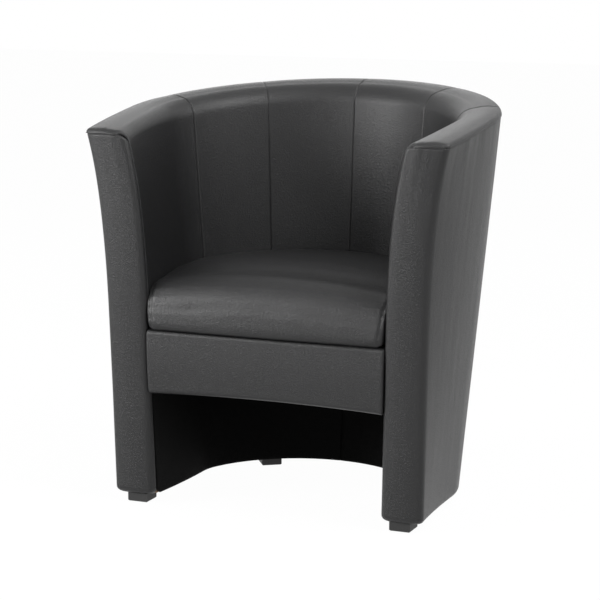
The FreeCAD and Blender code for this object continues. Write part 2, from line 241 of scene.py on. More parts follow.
def newMaterial(name):
    material = bpy.data.materials.new(name)
    material.use_nodes = True
    return material, material.node_tree.nodes, material.node_tree.links


def roughen(nodes, links, source, low, high):
    spread = nodes.new("ShaderNodeMapRange")
    spread.inputs["To Min"].default_value = low
    spread.inputs["To Max"].default_value = high
    links.new(source, spread.inputs["Value"])
    links.new(spread.outputs["Result"], nodes["Principled BSDF"].inputs["Roughness"])


def relief(nodes, links, source, height, strength):
    bump = nodes.new("ShaderNodeBump")
    bump.inputs["Distance"].default_value = height
    bump.inputs["Strength"].default_value = strength
    links.new(source, bump.inputs["Height"])
    return bump


leather = {
    "colour": (0.0088, 0.0088, 0.0092, 1.0),
    "roughLow": 0.31,
    "roughHigh": 0.44,
    "specular": 0.35,
    "grainScale": 520.0,  # the pores
    "grainHeight": 0.00022,
    "grainStrength": 0.6,
    "poreWidth": 0.12,
    "warpShare": 0.5,  # noise that bends the pores' outlines
    "warpReach": 0.0012,
    "creaseScale": 290.0,  # the broader unevenness under them
    "creaseHeight": 0.0009,
    "creaseStrength": 0.7,
    "creaseRough": 0.6,
    "detail": 3.0,
}
# a darker, less shiny copy of the leather for the cover under the seat: painted shade for the shadow under
# the seat, not a different leather
shadedLeatherCopy = {
    **leather,
    "colour": (0.0025, 0.0025, 0.0025, 1.0),
    "roughLow": 0.62,
    "roughHigh": 0.74,
    "specular": 0.06,
}


def leatherMaterial(name, values):
    material, nodes, links = newMaterial(name)
    shader = nodes["Principled BSDF"]
    shader.inputs["Base Color"].default_value = values["colour"]
    shader.inputs["Specular IOR Level"].default_value = values["specular"]
    place = nodes.new("ShaderNodeTexCoord")
    warp = nodes.new("ShaderNodeTexNoise")
    warp.inputs["Scale"].default_value = values["grainScale"] * values["warpShare"]
    warp.inputs["Detail"].default_value = values["detail"]
    links.new(place.outputs["Object"], warp.inputs["Vector"])
    shift = nodes.new("ShaderNodeVectorMath")
    shift.operation = "MULTIPLY_ADD"
    shift.inputs[1].default_value = (values["warpReach"],) * 3
    links.new(warp.outputs["Color"], shift.inputs[0])
    links.new(place.outputs["Object"], shift.inputs[2])
    cells = nodes.new("ShaderNodeTexVoronoi")
    cells.feature = "DISTANCE_TO_EDGE"
    cells.inputs["Scale"].default_value = values["grainScale"]
    links.new(shift.outputs[0], cells.inputs["Vector"])
    pores = nodes.new("ShaderNodeMapRange")
    pores.inputs["From Max"].default_value = values["poreWidth"]
    links.new(cells.outputs["Distance"], pores.inputs["Value"])
    crease = nodes.new("ShaderNodeTexNoise")
    crease.inputs["Scale"].default_value = values["creaseScale"]
    crease.inputs["Detail"].default_value = values["detail"]
    crease.inputs["Roughness"].default_value = values["creaseRough"]
    links.new(place.outputs["Object"], crease.inputs["Vector"])
    roughen(nodes, links, crease.outputs["Fac"], values["roughLow"], values["roughHigh"])
    broad = relief(nodes, links, crease.outputs["Fac"], values["creaseHeight"], values["creaseStrength"])
    fine = relief(nodes, links, pores.outputs["Result"], values["grainHeight"], values["grainStrength"])
    links.new(broad.outputs["Normal"], fine.inputs["Normal"])
    links.new(fine.outputs["Normal"], shader.inputs["Normal"])
    return material


mottle = {"detail": 5.0, "strength": 0.6}
thread = {"colour": (0.004, 0.004, 0.004, 1.0), "rough": (0.5, 0.7), "scale": 900.0, "height": 0.00005}
finishes = {
    "plywood": {
        "name": "birchPlywood",
        "colour": (0.66, 0.48, 0.29, 1.0),
        "tint": (0.48, 0.32, 0.17, 1.0),
        "rough": (0.5, 0.7),
        "scale": 40.0,
        "height": 0.0002,
        "stretch": (1.0, 1.0, 22.0),  # the plies lie level
    },
    "hardboard": {
        "name": "hardboard",
        "colour": (0.26, 0.16, 0.09, 1.0),
        "tint": (0.19, 0.11, 0.06, 1.0),
        "rough": (0.45, 0.6),
        "scale": 300.0,
        "height": 0.0001,
    },
    "black_cloth": {
        "name": "blackCloth",
        "colour": (0.012, 0.012, 0.012, 1.0),
        "rough": (0.85, 0.98),
        "scale": 1400.0,
        "height": 0.0002,
    },
    "black_plastic": {
        "name": "blackPlastic",
        "colour": (0.006, 0.006, 0.006, 1.0),
        "rough": (0.5, 0.65),
        "scale": 700.0,
        "height": 0.00008,
    },
    "zinc_steel": {
        "name": "zincSteel",
        "colour": (0.62, 0.62, 0.60, 1.0),
        "rough": (0.25, 0.4),
        "scale": 500.0,
        "height": 0.00003,
        "metallic": 1.0,
    },
    "webbing": {
        "name": "webbing",
        "colour": (0.09, 0.085, 0.08, 1.0),
        "rough": (0.8, 0.95),
        "scale": 700.0,
        "height": 0.0003,
        "stretch": (1.0, 6.0, 1.0),
    },
}


def plainMaterial(name, colour, rough, scale, height, stretch=(1.0, 1.0, 1.0), tint=None, metallic=0.0):
    # a mottled surface: noise drives its roughness, its relief and, with a tint, its colour
    material, nodes, links = newMaterial(name)
    shader = nodes["Principled BSDF"]
    shader.inputs["Base Color"].default_value = colour
    shader.inputs["Metallic"].default_value = metallic
    place = nodes.new("ShaderNodeTexCoord")
    turn = nodes.new("ShaderNodeMapping")
    turn.inputs["Scale"].default_value = stretch
    grain = nodes.new("ShaderNodeTexNoise")
    grain.inputs["Scale"].default_value = scale
    grain.inputs["Detail"].default_value = mottle["detail"]
    links.new(place.outputs["Object"], turn.inputs["Vector"])
    links.new(turn.outputs["Vector"], grain.inputs["Vector"])
    roughen(nodes, links, grain.outputs["Fac"], *rough)
    bump = relief(nodes, links, grain.outputs["Fac"], height, mottle["strength"])
    links.new(bump.outputs["Normal"], shader.inputs["Normal"])
    if tint:
        blend = nodes.new("ShaderNodeMix")
        blend.data_type = "RGBA"
        blend.inputs["A"].default_value = colour
        blend.inputs["B"].default_value = tint
        links.new(grain.outputs["Fac"], blend.inputs["Factor"])
        links.new(blend.outputs["Result"], shader.inputs["Base Color"])
    return material


leatherLook = leatherMaterial("blackLeather", leather)
# the second leather is the darker, duller copy: painted shade under the seat
shadedLeatherLook = leatherMaterial("shadedLeatherCopy", shadedLeatherCopy)
threadLook = plainMaterial("blackThread", **thread)
nodeLooks = {slot: plainMaterial(**values) for slot, values in finishes.items()}
slotOf = {row["node"]: row["material_slot"] for row in frame["record"]["subparts"]}
for node, piece in frame["nodes"].items():
    look = nodeLooks.get(slotOf[node])
    if look:
        piece.data.materials.clear()
        piece.data.materials.append(look)
print("materials done")

# The inner cover: six panels from the seam along the outer top edge over the rim and down to the seat

innerCover = {
    "rimRound": 0.020,  # the rim's inner edge at the arms' fronts, and round the back
    "backRound": 0.031,
    "roundFrom": 118.0,  # heading where it starts to grow, and over how many degrees it does
    "roundOver": 50.0,
    "lip": 0.006,  # the rounded outer edge over the seam
    "crown": 0.0025,
    "low": 0.331,
    "topColumns": 16,
    "roundColumns": 14,
    "wallColumns": 46,
    "rowLength": 0.0045,
    "rowGap": 0.002,
    "fine": (0.0, 0.0007, 0.0016, 0.0027, 0.0045, 0.007),  # rows beside a seam
    "armLength": 0.29,
    "seamDip": 0.0014,
    "seamWidth": 0.0016,
    "ridge": 0.0003,
    "ridgeAt": 0.0026,
    "puff": 0.0006,
    "puffWidth": 0.016,
    "frontRoll": 0.0065,  # the roll over the arm's front edge, and the turns of its rows
    "rollTurns": (0.35, 0.7, 1.05, 1.35, 1.57, 1.9, 2.3),
    "wallLap": 0.001,
    "tuck": 0.0025,
    "frontSeamBack": 0.011,
}
gathers = {
    "size": 0.0005,
    "reach": 0.018,
    "seed": 3.0,
    "frontSize": 0.0012,  # stronger ones at the arms' fronts
    "frontReach": 0.012,
    "frontSeed": 9.0,
    "along": 55.0,
    "across": 0.03,
}
outerCover = {
    "low": 0.018,
    "lowRound": 0.010,
    "topRound": 0.0035,
    "topLap": 0.0008,
    "frontCrown": 0.005,
    "crownPower": 2.2,
    "outerCorner": 0.010,
    "outerLift": 0.0006,
    "innerCorner": 0.012,
    "innerLift": 0.001,
    "clearTurn": 4.6,  # degrees before the front where the side's own columns end
    "probeTurn": 4.0,  # degrees over which the wall's way at the front is read
    "frontDrop": 0.0056,
    "seamBack": 0.011,
    "backColumns": 150,
    "sideColumns": 63,
    "frontColumns": 22,
    "outerSteps": 6,
    "innerSteps": 8,
    "edge": 0.012,  # height of the closer rows at the bottom and the top
    "lowShares": (0.0, 0.02, 0.08, 0.2, 0.4, 0.7, 1.0),
    "midRows": 70,
    "topShares": (0.0, 0.25, 0.45, 0.62, 0.76, 0.87, 0.94, 0.98, 1.0),
    "topGuess": 0.72,
    "kindsAt": 0.7,  # height at which the columns are sorted into side and front
    "wrinkle": 0.0012,
    "wrinkleScale": (42.0, 5.0),
    "fineWrinkle": 0.4,
    "fineScale": (95.0, 9.0),
    "evenShare": 0.25,  # of the wrinkles away from the top seam
    "wrinkleReach": 0.05,
}
planTable = {"low": 0.01, "high": 0.78, "levels": 90, "step": 0.004, "middle": 60}


def roundAt(heading):
    # the rim's inner edge is rounder round the back than at the arms' fronts
    c = innerCover
    share = ease((c["roundFrom"] - abs(heading)) / c["roundOver"])
    return c["rimRound"] + (c["backRound"] - c["rimRound"]) * share


def rimProfile(v, rimRound):
    # v runs 0 to 1 over the lip, the top and the rounded edge: depth in the wall, drop under the rim, tilt
    c = innerCover
    flat = shell["wall"] - rimRound - c["lip"]
    arc = rimRound * math.pi / 2
    lip = c["lip"] * math.pi / 2
    s = v * (lip + flat + arc)
    if s < lip:
        a = s / c["lip"]
        return c["lip"] * (1 - math.cos(a)), c["lip"] * (1 - math.sin(a)), a - math.pi / 2
    if s < lip + flat:
        q = (s - lip) / flat
        return c["lip"] + s - lip, -c["crown"] * math.sin(math.pi * q), 0.0
    a = (s - lip - flat) / rimRound
    return shell["wall"] - rimRound * (1 - math.sin(a)), rimRound * (1 - math.cos(a)), a


def innerPoint(heading, v, w, proud, setback):
    # v counts over the rim, w then down the wall; proud lifts the point off the foam
    c = innerCover
    if w <= 0:
        depth, drop, tilt = rimProfile(v, roundAt(heading))
        return onRim(heading, depth + proud * math.sin(tilt), drop - proud * math.cos(tilt), setback)
    top = onRim(heading, shell["wall"], roundAt(heading), setback)[2]
    z = top + (c["low"] - top) * w
    return wallPoint(heading, shell["wall"] + proud, z, setback)


def seamProud(distance):
    # the cover dips into a seam, with a small ridge beside it, and stands proud between the seams
    c = innerCover
    dip = -c["seamDip"] * math.exp(-(distance / c["seamWidth"]) ** 2)
    ridge = c["ridge"] * math.exp(-((distance - c["ridgeAt"]) / c["seamWidth"]) ** 2)
    return dip + ridge + c["puff"] * (1 - math.exp(-distance / c["puffWidth"]))


def crownAt(depth):
    # how far the padded front of an arm stands forward
    return outerCover["frontCrown"] * (1 - abs(2 * depth / shell["wall"] - 1) ** outerCover["crownPower"])


def pucker(heading, place, distance, seed, size=gathers["size"], reach=gathers["reach"]):
    # small gathers that run out from a seam
    wave = noise.noise(Vector((place * gathers["along"], heading * gathers["across"], seed)))
    return size * wave * math.exp(-distance / reach)


def panelPlaces(length, toFront):
    # where the rows lie along a panel: closer together beside its seams
    c = innerCover
    edge = c["fine"][-1] + c["rowGap"]
    regular = np.linspace(0.0, length, int(length / c["rowLength"]) + 1)
    clear = [p for p in regular if edge < p < length - (0.0 if toFront else edge)]
    last = [length] if toFront else [length - f for f in reversed(c["fine"])]
    return list(c["fine"]) + clear + last


def panelProfile():
    c = innerCover
    over = c["topColumns"] + c["roundColumns"]
    profile = [(i / over, 0.0) for i in range(over + 1)]
    return profile + [(1.0, (i + 1) / c["wallColumns"]) for i in range(c["wallColumns"])]


def frontSetback(v):
    # how much of the profile's turn is on the wall, and how far behind the arm's front the panel ends
    c = innerCover
    onWall = max(0.0, math.sin(rimProfile(v, c["rimRound"])[2]))
    return onWall, c["frontRoll"] * (1 - onWall) + c["frontSeamBack"] * onWall


def rolledRow(end, profile, turn):
    # the panel rolls over the arm's front edge and is sewn to the strip; on the wall it is tucked behind it
    c = innerCover
    row = []
    for v, w in profile:
        onWall, back = frontSetback(v)
        forward = c["frontRoll"] + crownAt(rimProfile(v, c["rimRound"])[0])
        ahead = math.sin(turn) * ((1 - onWall) * forward + onWall * c["wallLap"])
        sunk = (1 - math.cos(turn)) * ((1 - onWall) * c["frontRoll"] + onWall * c["tuck"])
        gather = pucker(end, v + w, 0.0, gathers["frontSeed"], gathers["frontSize"])
        proud = c["puff"] - sunk + gather * (1 - math.sin(turn) * 0.5)
        row.append(innerPoint(end, v, w, proud, back - ahead))
    return row


def innerPanel(name, start, end, *nodes, toFront=False):
    c = innerCover
    onBack = max(abs(start), abs(end)) < jointAngle
    radius = (backRadius if onBack else shell["sideRadius"]) + shell["flare"]
    length = c["armLength"] if toFront else abs(math.radians(end - start)) * (radius - shell["wall"] / 2)
    profile = panelProfile()
    rows = []
    for place in panelPlaces(length, toFront):
        heading = start + (end - start) * place / length
        nearest = place if toFront else min(place, length - place)
        row = []
        for v, w in profile:
            proud = seamProud(nearest) + pucker(heading, v + w, nearest, gathers["seed"] + start)
            setback = 0.0
            if toFront:
                left = length - place
                proud += pucker(heading, v + w, left, gathers["frontSeed"], gathers["frontSize"],
                                gathers["frontReach"])
                setback = frontSetback(v)[1]
            row.append(innerPoint(heading, v, w, proud, setback))
        rows.append(row)
    if toFront:
        rows += [rolledRow(end, profile, turn) for turn in c["rollTurns"]]
    piece = gridPiece(name, rows, leatherLook, flip=(start + end) > 0)
    finishCover(piece, *nodes)


for side, sign in (("Right", 1), ("Left", -1)):
    word = side.lower()
    foam = "back_foam" if sign > 0 else "rim_foam"
    backSeam, sideSeam = sign * shell["backSeam"], sign * shell["sideSeam"]
    innerPanel("innerBack" + side, 0.0, backSeam, "inner_back_cover_" + word, foam)
    innerPanel("innerCorner" + side, backSeam, sideSeam, "inner_corner_cover_" + word)
    innerPanel("innerArm" + side, sideSeam, sign * frontEnd, "inner_arm_cover_" + word, toFront=True)
print("inner cover done")


# The outer cover: a back panel, and two side panels that wrap round the arms' fronts

def wayTo(a, b):
    return (b - a) / np.linalg.norm(b - a)


def corner(a, b, e, steps):
    # a rounded corner from a to e, drawn towards b
    return [a * (1 - t) ** 2 + b * 2 * t * (1 - t) + e * t * t for t in (i / steps for i in range(steps + 1))]


def sidePath(z, sign, inset):
    # the plan at one height: from the seam at the back corner, round the arm's front, to its inner edge
    # each point also says whether it is on the front, and how deep it is in the wall there
    c = outerCover
    turn = frontEnd - c["clearTurn"] - shell["sideSeam"]
    headings = [shell["sideSeam"] + turn * i / c["sideColumns"] for i in range(c["sideColumns"] + 1)]
    points = [wallPoint(sign * heading, inset, z) for heading in headings]
    kinds = [(False, 0.0)] * len(points)
    ends = (sign * frontEnd, sign * (frontEnd - c["probeTurn"]))
    outer, before = (wallPoint(heading, inset, z) for heading in ends)
    inner, behind = (wallPoint(heading, shell["wall"] - inset, z) for heading in ends)
    back, across, rear = wayTo(outer, before), wayTo(outer, inner), wayTo(inner, behind)
    forward = np.array((0.0, -1.0, 0.0))
    width = np.linalg.norm(inner - outer)
    outer = outer + np.array((0.0, inset, 0.0))
    inner = inner + np.array((0.0, inset, 0.0))

    def face(x):
        q = 2 * x / width - 1
        return outer + across * x + forward * c["frontCrown"] * (1 - abs(q) ** c["crownPower"])

    outerStart, outerPeak = outer + back * c["outerCorner"], outer + forward * c["outerLift"]
    points += corner(outerStart, outerPeak, face(c["outerCorner"]), c["outerSteps"])
    kinds += [(True, 0.0)] * (c["outerSteps"] + 1)
    for i in range(1, c["frontColumns"]):
        x = c["outerCorner"] + (width - c["outerCorner"] - c["innerCorner"]) * i / c["frontColumns"]
        points.append(face(x))
        kinds.append((True, x + inset))
    innerPeak, innerEnd = inner + forward * c["innerLift"], inner + rear * c["seamBack"]
    points += corner(face(width - c["innerCorner"]), innerPeak, innerEnd, c["innerSteps"])
    for i in range(c["innerSteps"] + 1):
        t = i / c["innerSteps"]
        kinds.append((True, min(shell["wall"], width - c["innerCorner"] * (1 - t) ** 2)))
    return points, kinds


def topOf(point, kind):
    # where the strip or the wall ends under the rim's seam
    onFront, depth = kind
    top = rimZ(point[1])
    if not onFront:
        return top - innerCover["lip"] + outerCover["topLap"]
    rimRound = innerCover["rimRound"]
    start = shell["wall"] - rimRound
    if depth <= start:
        return top - outerCover["frontDrop"]
    a = math.asin(min(1.0, (depth - start) / rimRound))
    return top - rimRound * (1 - math.cos(a)) - outerCover["frontDrop"] * math.cos(a)


def hemInset(height):
    # the covers' lower edges are rounded under
    r = outerCover["lowRound"]
    return r - math.sqrt(r * r - max(0.0, r - height) ** 2)


def levelInset(fromLow, fromTop):
    inset = hemInset(fromLow)
    top = outerCover["topRound"]
    if fromTop < top:
        inset += top - math.sqrt(max(0.0, top ** 2 - (top - fromTop) ** 2))
    return inset


def coverLevels():
    # a zone and a share of it for each row, closer together near the bottom and the top
    c = outerCover
    levels = [("low", t) for t in c["lowShares"]]
    levels += [("mid", i / c["midRows"]) for i in range(1, c["midRows"])]
    return levels + [("top", 1 - t) for t in c["topShares"]]


def levelHeight(zone, t, top):
    c = outerCover
    if zone == "low":
        return c["low"] + c["edge"] * t
    if zone == "top":
        return top - c["edge"] * t
    return c["low"] + c["edge"] + (top - c["low"] - 2 * c["edge"]) * t


def tabulate(pathAt):
    # the path at many heights, and how it moves when it is drawn in by one metre
    c = planTable
    heights = np.linspace(c["low"], c["high"], c["levels"])
    base = np.array([pathAt(z, 0.0)[0] for z in heights])
    moved = np.array([pathAt(z, c["step"])[0] for z in heights])
    return heights, base, (moved - base) / c["step"]


def tablePoint(table, i, z, inset):
    heights, base, drawn = table
    f = (z - heights[0]) / (heights[1] - heights[0])
    k = min(len(heights) - 2, max(0, int(f)))
    t = f - k
    p = base[k, i] * (1 - t) + base[k + 1, i] * t
    return p + (drawn[k, i] * (1 - t) + drawn[k + 1, i] * t) * inset


def wrinkleAt(run, z, seed):
    c = outerCover
    along, up = c["wrinkleScale"]
    fineAlong, fineUp = c["fineScale"]
    broad = noise.noise(Vector((run * along, z * up, seed)))
    fine = noise.noise(Vector((run * fineAlong, z * fineUp, seed + 4.0)))
    return broad + c["fineWrinkle"] * fine


def coverRows(pathAt, seed):
    # every column of the cover runs from the bottom hem up to its own top edge, with a seam at both sides
    c = outerCover
    table = tabulate(pathAt)
    kinds = pathAt(c["kindsAt"], 0.0)[1]
    tops = []
    for i, kind in enumerate(kinds):
        z = c["topGuess"]
        for _ in range(4):
            z = topOf(tablePoint(table, i, z, 0.0), kind)
        tops.append(z)
    steps = np.linalg.norm(np.diff(table[1][planTable["middle"]], axis=0), axis=1)
    run = np.concatenate(([0.0], np.cumsum(steps)))
    rows = []
    for zone, t in coverLevels():
        row = []
        for i, top in enumerate(tops):
            z = levelHeight(zone, t, top)
            inset = levelInset(z - c["low"], top - z)
            proud = seamProud(min(run[i], run[-1] - run[i])) - innerCover["puff"]
            near = c["evenShare"] + math.exp(-(top - z) / c["wrinkleReach"])
            proud += c["wrinkle"] * wrinkleAt(run[i], z, seed) * near
            row.append(tablePoint(table, i, z, inset - proud))
        rows.append(row)
    return rows


def backPath(z, inset):
    steps = outerCover["backColumns"]
    points = [wallPoint(shell["sideSeam"] * (2 * i / steps - 1), inset, z) for i in range(steps + 1)]
    return points, [(False, 0.0)] * (steps + 1)


back = gridPiece("outerBack", coverRows(backPath, 11.0), leatherLook, flip=True)
finishCover(back, "outer_cover_back", "outer_wadding")
for side, sign in (("Right", 1), ("Left", -1)):
    def armPath(z, inset, sign=sign):
        return sidePath(z, sign, inset)

    piece = gridPiece("outerSide" + side, coverRows(armPath, 20.0 + sign), leatherLook, flip=sign < 0)
    finishCover(piece, "outer_cover_" + side.lower(), "arm_front_pad_" + side.lower())
print("outer cover done")

# The cover under the seat: two halves with a seam at the middle of the back

underSeat = {
    "low": 0.018,
    "high": 0.3165,
    "rows": 60,
    "columns": 120,
    "length": 0.62,
    "seamDip": 0.0012,
    "seamWidth": 0.003,
    "frontSeamBack": 0.011,
}


def underSeatRows(sign):
    c = underSeat
    heights = [c["low"] + (c["high"] - c["low"]) * j / c["rows"] for j in range(c["rows"] + 1)]
    rows = []
    for i in range(c["columns"] + 1):
        q = i / c["columns"]
        depth = shell["wall"] - c["seamDip"] * math.exp(-(q * c["length"] / c["seamWidth"]) ** 2)
        row = []
        for z in heights:
            row.append(wallPoint(sign * frontEnd * q, depth, z, c["frontSeamBack"] + hemInset(z - c["low"])))
        rows.append(row)
    return rows


for side, sign in (("Right", 1), ("Left", -1)):
    rows = underSeatRows(sign)
    # the cover under the seat takes the darker leather copy, painted shade for the shadow there
    piece = gridPiece("underSeat" + side, rows, shadedLeatherLook, flip=sign < 0)
    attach(piece, "root")
    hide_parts("under_seat_cover_" + side.lower())
    declareSheet(piece, *bandSize(rows), "inner_hardboard_lower")
print("under-seat cover done")

# The black cloths under the shell and under the seat, pulled tight and stapled

lining = {
    "edge": 0.0125,  # how far the lower cloth keeps inside the shell's faces
    "across": 6,
    "along": 240,
    "thickness": 0.0008,
    "ripple": 0.0003,
    "rippleScale": 30.0,
    "seatEdge": 0.020,
    "seatRipple": 0.0006,
    "rings": 14,
}


def rippled(point, size):
    wave = noise.noise(Vector(tuple(point * lining["rippleScale"])))
    return point + np.array((0.0, 0.0, size * wave))


def clothLevel(node):
    low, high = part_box(node)
    return (low[2] + high[2]) / 2 + lining["thickness"] / 2


def stretchedCloth(name, rows, node, flip):
    piece = gridPiece(name, rows, nodeLooks["black_cloth"], thickness=lining["thickness"], flip=flip)
    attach(piece, "root")
    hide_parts(node)
    return piece


def baseClothRows():
    c = lining
    level = clothLevel("base_cloth")
    width = shell["wall"] - c["edge"] - c["edge"]
    depths = [c["edge"] + width * j / c["across"] for j in range(c["across"] + 1)]
    rows = []
    for i in range(c["along"] + 1):
        heading = frontEnd * (2 * i / c["along"] - 1)
        rows.append([rippled(wallPoint(heading, depth, level, c["edge"]), c["ripple"]) for depth in depths])
    return rows


rows = baseClothRows()
piece = stretchedCloth("baseCloth", rows, "base_cloth", True)
declareSheet(piece, *bandSize(rows), "base_ring")
print("base cloth done")

# The front rail: a padded board between the arms, arched a little along its lower edge

rail = {
    "front": 0.256,
    "back": 0.2262,
    "sideDepths": (0.242, 0.234),
    "low": 0.214,
    "high": 0.3355,
    "arch": 0.006,
    "edge": 0.008,
    "edgeSteps": 8,
    "faceSteps": 24,
    "backShares": (0.25, 0.5, 0.75),
    "bulge": 0.0018,
    "endRound": 0.004,
    "endPlaces": (0.0, 0.0004, 0.0012, 0.0024, 0.004),
    "endShrink": 1.6,
    "setback": 0.012,
    "gap": -0.0006,
    "steps": 110,
}


def railHalf(z):
    return wallPoint(frontEnd, shell["wall"], z, rail["setback"])[0] - rail["gap"]


def railSection():
    # a closed outline: depth, share of the height, and what the rounded edge adds to it
    c = rail
    e = c["edge"]
    turns = [math.pi / 2 * i / c["edgeSteps"] for i in range(c["edgeSteps"] + 1)]
    outline = [(c["front"] - e + e * math.sin(a), 1.0, -e + e * math.cos(a)) for a in turns]
    for i in range(1, c["faceSteps"]):
        q = i / c["faceSteps"]
        outline.append((c["front"] + c["bulge"] * math.sin(math.pi * q), 1.0 - q, -e * (1 - q) + e * q))
    outline += [(c["front"] - e + e * math.cos(a), 0.0, e - e * math.sin(a)) for a in turns]
    outline += [(y, 0.0, 0.0) for y in c["sideDepths"] + (c["back"],)]
    outline += [(c["back"], share, 0.0) for share in c["backShares"]]
    return outline + [(y, 1.0, 0.0) for y in (c["back"],) + c["sideDepths"][::-1]]


def railRows():
    # q runs -1 to 1 across the rail; at its ends the rings are placed by their distance from the end
    c = rail
    places = [(-1.0, e) for e in c["endPlaces"]]
    places += [(-1 + 2 * i / c["steps"], None) for i in range(2, c["steps"] - 1)]
    places += [(1.0, e) for e in reversed(c["endPlaces"])]
    section = railSection()
    rows = []
    for q, fromEnd in places:
        shrink = 0.0
        if fromEnd is not None:
            r = c["endRound"]
            shrink = r - math.sqrt(max(0.0, r * r - (r - fromEnd) ** 2))
        row = []
        for y, up, extra in section:
            z = c["low"] + c["arch"] * (1 - q * q)
            z = z + (c["high"] - z) * up + extra
            z += shrink * (0.5 - up) * c["endShrink"]
            half = railHalf(z)
            x = q * half if fromEnd is None else math.copysign(half - fromEnd, q)
            row.append(np.array((x, -(y - shrink) + shiftY, z)))
        rows.append(row)
    return rows


piece = closedPiece("railCover", railRows(), leatherLook)
finishCover(piece, "rail_cover", "rail_pad")
print("rail done")

# The seat: drawn in below, widest at the middle of its sides, and crowned

seat = {
    "low": 0.3352,
    "front": 0.2585,
    "clearance": 0.0008,
    "corner": 0.006,
    "bow": 0.0035,
    "crownHeight": 0.4535,
    "crownRadius": 1.55,
    "crownY": -0.060,
    "underInset": 0.030,
    "underShares": (0.002, 0.3, 0.6, 0.85, 1.0),
    "sideHeight": 0.075,
    "topLevel": 0.41,
    # share of the side's height, inset
    "upright": ((0.0, 0.0055), (0.05, 0.0034), (0.14, 0.0018), (0.28, 0.0006), (0.45, 0.0), (0.62, 0.0),
                (0.8, 0.0002)),
    # inset, drop towards the front, drop beside the arms and the back
    "roll": ((0.001, 0.0620, 0.0180), (0.003, 0.0500, 0.0130), (0.006, 0.0400, 0.0088),
             (0.010, 0.0308, 0.0054), (0.0155, 0.0222, 0.0027), (0.023, 0.0145, 0.0010),
             (0.034, 0.0085, 0.0002), (0.046, 0.0058, 0.0), (0.062, 0.0064, 0.0),
             (0.080, 0.0080, 0.0), (0.100, 0.0070, 0.0)),
    "rollLevel": 0.43,
    "hollow": ((0.125, 0.0030), (0.160, 0.0)),  # distance behind the front, drop
    "innerRings": 26,
    "middle": 0.002,
    "cornerSteps": 8,
    "frontSteps": 70,
    "sideSteps": 150,
    "searchFrom": 100.0,
}
swelling = {
    "voxel": 0.005,
    "pressure": 4.0,
    "frames": 20,
    "smoothing": 30,
    "cap": 0.012,
    "footHeight": 0.05,  # the cover is held at its foot and free above this
    "frontReach": 0.09,  # how far behind the front the cover starts to move forward, and over what way
    "frontWay": 0.07,
    "sideShare": 0.05,
    "backShare": 0.05,
    "frontShare": 0.25,
    "frontCap": 0.003,
    "upShare": 0.22,
}
seatSeam = {
    "level": 0.40,
    "inset": 0.007,
    "dip": 0.0018,
    "width": 0.0032,
    "pucker": 0.0014,
    "reach": 0.016,
    "band": 0.08,  # gathers end this far from the seam
    "foot": 0.004,
    "along": 70.0,
    "across": 6.0,
    "seed": 3.0,
}


def headingAt(depth, z, y):
    # where the arm's inner side is this far forward
    low, high = seat["searchFrom"], frontEnd
    for _ in range(16):
        middle = (low + high) / 2
        if wallPoint(middle, depth, z)[1] > y:
            low = middle
        else:
            high = middle
    return low


def seatOutline(inset, z):
    c = seat
    depth = shell["wall"] + c["clearance"] + inset
    r = c["corner"]
    y = -(c["front"] - inset) + shiftY
    end = headingAt(depth, z, y + r)
    points = [wallPoint(end * (1 - 2 * i / c["sideSteps"]), depth, z) for i in range(c["sideSteps"] + 1)]

    def frontCorner(edge, outward):
        x, y = edge[0] - outward * r, edge[1]
        turns = [math.pi / 2 * i / c["cornerSteps"] for i in range(1, c["cornerSteps"] + 1)]
        return [np.array((x + outward * r * math.cos(a), y - r * math.sin(a), z)) for a in turns]

    leftCorner, rightCorner = frontCorner(points[-1], -1), frontCorner(points[0], 1)
    start, stop = leftCorner[-1], rightCorner[-1]
    front = []
    for i in range(1, c["frontSteps"]):
        q = i / c["frontSteps"]
        forward = np.array((0.0, c["bow"] * (1 - (2 * q - 1) ** 2), 0.0))
        front.append(start * (1 - q) + stop * q - forward)
    return np.array(points + leftCorner + front + rightCorner[::-1])


def crownZ(points):
    c = seat
    spread = points[:, 0] ** 2 + (points[:, 1] - c["crownY"] - shiftY) ** 2
    return c["crownHeight"] - spread / (2 * c["crownRadius"])


def rolled(ring, side):
    # the drop below the crown grows towards the front edge, and is small beside the arms and the back
    c = seat
    steps = [step[:2] for step in c["roll"]] + list(c["hollow"])
    back, drops = zip(*steps)
    behind = ring[:, 1] - shiftY + c["front"]
    return crownZ(ring) - np.maximum(side, np.interp(behind, back, drops))


def seatRows():
    # rings from the middle of the underside out, up the side, over the roll and in to the crown
    c = seat
    under = seatOutline(c["underInset"], c["low"])
    middle = np.array((0.0, c["crownY"] + shiftY, c["low"]))
    rows = [middle + (under - middle) * share for share in c["underShares"]]
    inset, _, side = c["roll"][0]
    top = rolled(seatOutline(inset, c["topLevel"]), side)
    for share, drawn in c["upright"]:
        ring = seatOutline(drawn, c["low"] + (c["sideHeight"] * share))
        ring[:, 2] = c["low"] + (top - c["low"]) * share
        rows.append(ring)
    for inset, _, side in c["roll"]:
        ring = seatOutline(inset, c["rollLevel"])
        ring[:, 2] = rolled(ring, side)
        rows.append(ring)
    rim = rows[-1]
    centre = np.array((0.0, c["crownY"] + shiftY, 0.0))
    for i in range(1, c["innerRings"] + 1):
        ring = centre + (rim - centre) * max(1 - i / c["innerRings"], c["middle"])
        ring[:, 2] = rolled(ring, 0.0)
        rows.append(ring)
    return rows


def coordinates(mesh):
    flat = np.empty(len(mesh.vertices) * 3, dtype=np.float32)
    mesh.vertices.foreach_get("co", flat)
    return flat.reshape(-1, 3).astype(float)


def setCoordinates(mesh, points):
    mesh.vertices.foreach_set("co", points.astype(np.float32).ravel())
    mesh.update()


